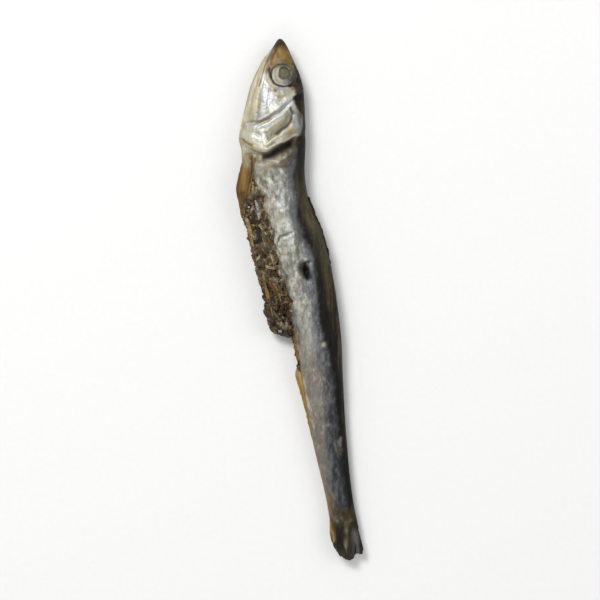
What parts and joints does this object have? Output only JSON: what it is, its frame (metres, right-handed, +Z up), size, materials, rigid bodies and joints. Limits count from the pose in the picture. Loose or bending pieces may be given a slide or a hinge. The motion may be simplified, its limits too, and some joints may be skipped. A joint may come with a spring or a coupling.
{
  "type": "dried anchovy",
  "caption": "Whole small dried fish lying on its side, head and fins on, belly split open, resting on a flat patch of its lower flank.",
  "frame": {"origin": "on the surface the fish lies on, under the middle of its box", "axes": "+Y towards the snout, +X towards the back, +Z up through the upper flank"},
  "size_m": [0.0218, 0.0892, 0.0065],
  "materials": {
    "dried_skin": "dull silver skin with a black back, gold jaw and fins, and dark grainy roe in the split belly"
  },
  "bodies": {
    "root": {"dried_anchovy": "dried_skin"}
  },
  "joints": []
}
